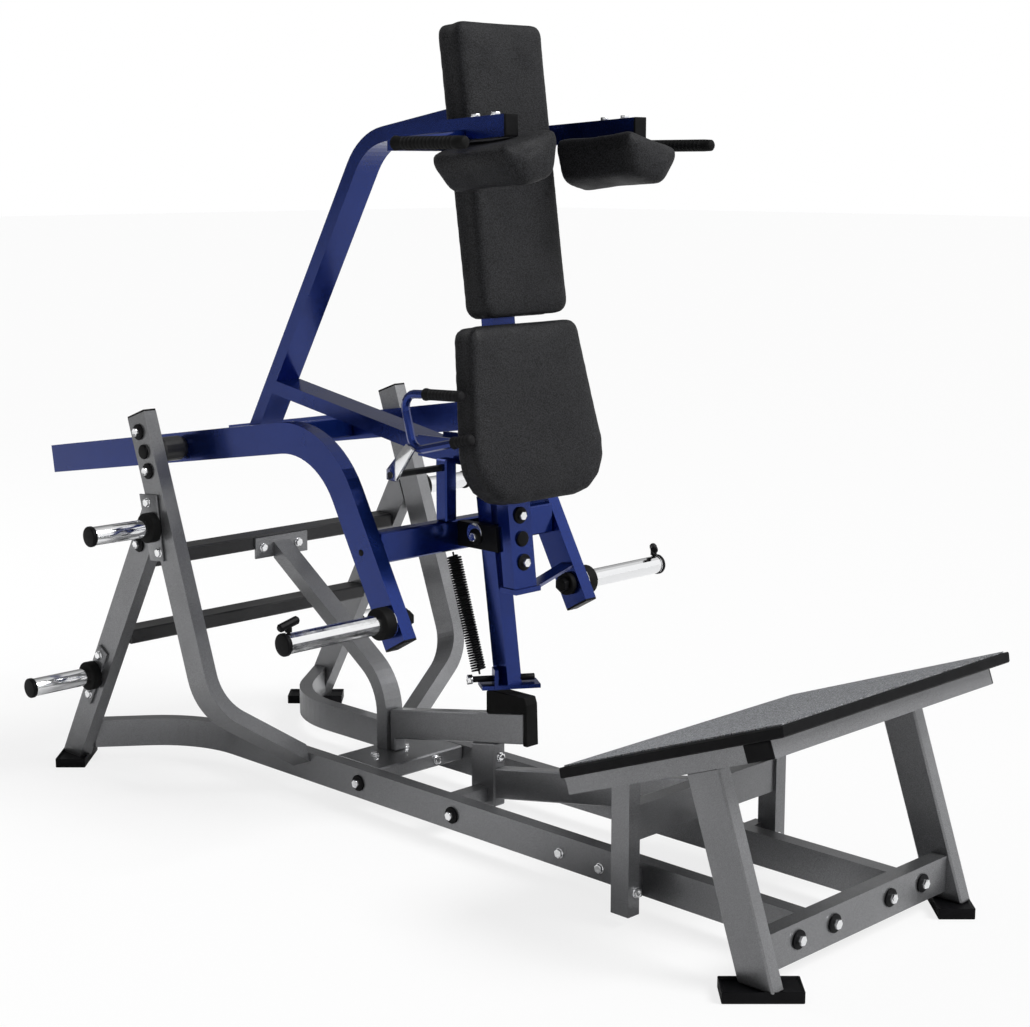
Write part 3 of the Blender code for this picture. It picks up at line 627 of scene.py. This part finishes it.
def blow_up(piece):
    """Blows the pad up as cloth and keeps each vertex within PAD_SWELL of its start."""
    rest = [v.co.copy() for v in piece.data.vertices]
    cloth = piece.modifiers.new("cloth", "CLOTH")
    cloth.settings.use_pressure = True
    cloth.settings.uniform_pressure_force = CLOTH_PRESSURE
    cloth.settings.effector_weights.gravity = 0
    cloth.point_cache.frame_start = 1
    cloth.point_cache.frame_end = CLOTH_FRAMES
    scene = bpy.context.scene
    for number in range(1, CLOTH_FRAMES + 1):
        scene.frame_set(number)
    bpy.context.view_layer.update()
    bpy.ops.object.modifier_apply(modifier="cloth")
    for vertex, start in zip(piece.data.vertices, rest):
        moved = vertex.co - start
        if moved.length > PAD_SWELL:
            vertex.co = start + moved.normalized() * PAD_SWELL
    scene.frame_set(1)
    smoothed(piece, "settle", 4)


def pad_piece(node_name):
    """Upholstered pad: the CAD pad remeshed and blown up as cloth."""
    piece = bpy.data.objects.new(f"{node_name}_cover", nodes[node_name].data.copy())
    bpy.context.scene.collection.objects.link(piece)
    make_active(piece)
    bpy.ops.object.mode_set(mode="EDIT")
    bpy.ops.mesh.select_all(action="SELECT")
    bpy.ops.mesh.remove_doubles(threshold=0.0001)
    bpy.ops.mesh.normals_make_consistent(inside=False)
    bpy.ops.object.mode_set(mode="OBJECT")
    remesh = piece.modifiers.new("remesh", "REMESH")
    remesh.mode = "VOXEL"
    remesh.voxel_size = PAD_VOXEL
    bpy.ops.object.modifier_apply(modifier="remesh")
    smoothed(piece, "smooth", 6)
    blow_up(piece)
    finish_piece(piece, f"{node_name}_cover", LEATHER, "lever", 60)
    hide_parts(node_name)


for pad_name in ("back_pad", "hip_pad", "shoulder_pad_left", "shoulder_pad_right"):
    pad_piece(pad_name)


# ---------------------------------------------------------------- grips
def grip_sleeve(name, start, end, radius, body, replaced, paint=RIBBED):
    """A pushed-on grip with a flange, a domed end and turned grooves."""
    length = (end - start).length
    deselect()
    bpy.ops.mesh.primitive_cylinder_add(
        vertices=40, radius=radius, depth=0.004, location=(0, 0, 0.002)
    )
    piece = bpy.context.object
    apply_place()
    pick_top(piece)
    bpy.ops.object.mode_set(mode="EDIT")
    bpy.ops.mesh.select_mode(type="FACE")
    spans = [(0.94, 0.002), (0.94, length * 0.10)]
    grooves = max(4, int(length / 0.016))
    step = (length * 0.78) / grooves
    for _ in range(grooves):
        spans += [(0.965, 0.001), (1 / 0.965, 0.001), (1.0, step - 0.002)]
    spans += [(0.93, length - 0.006 - length * 0.88), (0.8, 0.003), (0.6, 0.002)]
    for scale, reach in spans:
        step_up = {"value": (0, 0, max(reach, 0.0005))}
        bpy.ops.mesh.extrude_region_move(TRANSFORM_OT_translate=step_up)
        bpy.ops.transform.resize(value=(scale, scale, 1), center_override=(0, 0, 0))
    bpy.ops.object.mode_set(mode="OBJECT")
    top = max(v.co.z for v in piece.data.vertices)
    for vertex in piece.data.vertices:
        vertex.co.z *= length / top
    turn = (end - start).to_track_quat("Z", "Y").to_matrix().to_4x4()
    piece.data.transform(Matrix.Translation(start) @ turn)
    finish_piece(piece, name, paint, body, 50)
    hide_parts(replaced)


def steel_bar(name, start, end, radius, body, paint=BLUE):
    disc = (radius, 0.0, (end - start).length, 32, 0.0008, 2)
    turned_piece(disc, start, end - start, name, paint, body)


for side, label in SIDES:
    grip_sleeve(
        f"shoulder_grip_sleeve_{label}",
        at(side * 0.43, 1.099, 1.777), at(side * 0.43, 0.863, 1.777),
        0.0172, "lever", f"shoulder_grip_{label}", RUBBER,
    )
    steel_bar(
        f"shoulder_grip_arm_{label}",
        at(side * 0.247, 1.07, 1.797), at(side * 0.437, 1.07, 1.778),
        0.0126, "lever",
    )
grip_sleeve(
    "release_grip_upper",
    at(RELEASE_HANDLE_X, 1.1997, 1.173), at(RELEASE_HANDLE_X, 1.07, 1.178),
    0.0157, "handle", "handle_grip_upper",
)
grip_sleeve(
    "release_grip_lower",
    at(RELEASE_HANDLE_X, 1.0995, 1.0621), at(RELEASE_HANDLE_X, 1.035, 1.077),
    0.0157, "handle", "handle_grip_lower",
)


# ---------------------------------------------------------------- release handle
blade = [(1.325, 0.95), (1.325, 0.975), (1.25, 1.048), (1.225, 1.035), (1.292, 0.948)]
flat_plate("release_blade", blade, -0.2719, -0.2607, CHROME, "handle")


# ---------------------------------------------------------------- spring
def coil_spring():
    """The black return spring, wound from the lower cross tube to the prop's foot."""
    top = at(-0.066, 1.302, 0.7412)
    foot_spot = at(-0.062, 1.2057, 0.4258)
    turns, radius, wire, around, taper = 46, 0.0172, 0.0025, 18, 6
    axis = foot_spot - top
    turn = axis.normalized().to_track_quat("Z", "Y")
    lead = 0.012
    curve = bpy.data.curves.new("return_spring", "CURVE")
    curve.dimensions = "3D"
    curve.bevel_depth = wire
    curve.bevel_resolution = 2
    curve.use_fill_caps = True
    path = [Vector((0, 0, wire)), Vector((0, 0, lead * 0.6))]
    count = turns * around
    for k in range(count + 1):
        a = 2 * math.pi * k / around
        grow = min(1, k / taper, (count - k) / taper)
        path.append(Vector((
            radius * grow * math.cos(a), radius * grow * math.sin(a),
            lead + (axis.length - 2 * lead) * k / count,
        )))
    path += [Vector((0, 0, axis.length - lead * 0.6)), Vector((0, 0, axis.length - wire))]
    line = curve.splines.new("POLY")
    line.points.add(len(path) - 1)
    for point, spot in zip(line.points, path):
        point.co = (*(top + turn @ spot), 1)
    piece = bpy.data.objects.new("return_spring", curve)
    bpy.context.scene.collection.objects.link(piece)
    make_active(piece)
    bpy.ops.object.convert(target="MESH")
    piece = bpy.context.object
    finish_piece(piece, "return_spring", BLACK, "lever", 60)
    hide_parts("prop_spring")
    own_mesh(piece)


coil_spring()


# ---------------------------------------------------------------- prop's foot bolt
foot_way = Vector((0.83, -0.558, 0)).normalized()
rod_start = at(0, 1.164, 0.4155) - foot_way * 0.108
for name, near, far, radius in (
    ("prop_bolt_rod", 0.012, 0.067, 0.0082),
    ("prop_bolt_end", 0.14, 0.1772, 0.0088),
):
    steel_bar(
        name, rod_start + foot_way * near, rod_start + foot_way * far, radius,
        "prop", BLACK,
    )
turned_piece(
    (0.0135, 0.0, 0.0135, 6, 0.001, 2), rod_start - foot_way * 0.0005, foot_way,
    "prop_bolt_nut", CHROME, "prop",
)
for blank in (washer_blank, small_washer_blank, head_blank, low_head_blank, cap_blank):
    bpy.data.objects.remove(blank)


# ---------------------------------------------------------------- floor and light
def aimed(direction):
    """The rotation of a lamp that shines along a direction."""
    return Vector(direction).to_track_quat("-Z", "Y").to_euler()


def studio_floor():
    """A matte white floor that the camera sees almost unshaded, as in the cut-out photograph."""
    deselect()
    bpy.ops.mesh.primitive_plane_add(size=120, location=(0, 0, -0.0005))
    floor = bpy.context.object
    floor.name = "studio_floor"
    pale = Finish("studio_floor", (0.9, 0.9, 0.9), 0.9, specular_ior_level=0.1)
    seen = pale.node("ShaderNodeLightPath", {}, {}, "Is Camera Ray")
    white = pale.node("ShaderNodeEmission", {}, {"Color": (1, 1, 1, 1), "Strength": 1.0})
    matte = Value(pale, pale.shader.outputs[0])
    blend = pale.node("ShaderNodeMixShader", {}, {0: seen * 0.8, 1: matte, 2: white})
    surface = pale.tree.nodes["Material Output"].inputs["Surface"]
    pale.tree.links.new(blend.socket, surface)
    floor.data.materials.append(pale.material)


def studio_world():
    """White to the camera. To the machine it is brighter from one side, and in reflections."""
    world = bpy.data.worlds.new("studio")
    bpy.context.scene.world = world
    world.use_nodes = True
    sky = Shading(world.node_tree)
    background = sky.tree.nodes["Background"]
    background.inputs["Color"].default_value = (1, 1, 1, 1)
    seen = sky.node("ShaderNodeLightPath", {}, {}, "Is Camera Ray")
    mirrored = sky.node("ShaderNodeLightPath", {}, {}, "Is Glossy Ray")
    way = sky.node("ShaderNodeTexCoord", {}, {}, "Generated")
    facing = sky.node(
        "ShaderNodeVectorMath", {"operation": "DOT_PRODUCT"}, {0: way, 1: (0.45, -0.88, 0.1)},
        "Value",
    )
    shade = sky.ramp(facing, -0.3, 0.7, 0.22, 1.0)
    strength = seen.at_least(mirrored.at_least(0.45) * shade)
    sky.tree.links.new(strength.socket, background.inputs["Strength"])


def studio_lamps():
    sun = bpy.data.lights.new("key_sun", "SUN")
    sun.energy = 3.0
    sun.angle = math.radians(25)
    sun_lamp = bpy.data.objects.new("key_sun", sun)
    sun_lamp.rotation_euler = aimed((-0.25, 0.72, -0.8))
    bpy.context.scene.collection.objects.link(sun_lamp)
    aim = Vector((0, 0, 0.8))
    lamps = (
        ("fill", (-4.5, 0.5, 2.5), 3.0, 10),
        ("rim", (-1.0, 4.5, 4.5), 3.0, 60),
    )
    for name, spot, size, power in lamps:
        data = bpy.data.lights.new(name, "AREA")
        data.size = size
        data.energy = power
        lamp = bpy.data.objects.new(name, data)
        lamp.location = spot
        lamp.rotation_euler = aimed(aim - Vector(spot))
        bpy.context.scene.collection.objects.link(lamp)


studio_floor()
studio_world()
studio_lamps()
bpy.context.scene.view_settings.view_transform = "Standard"
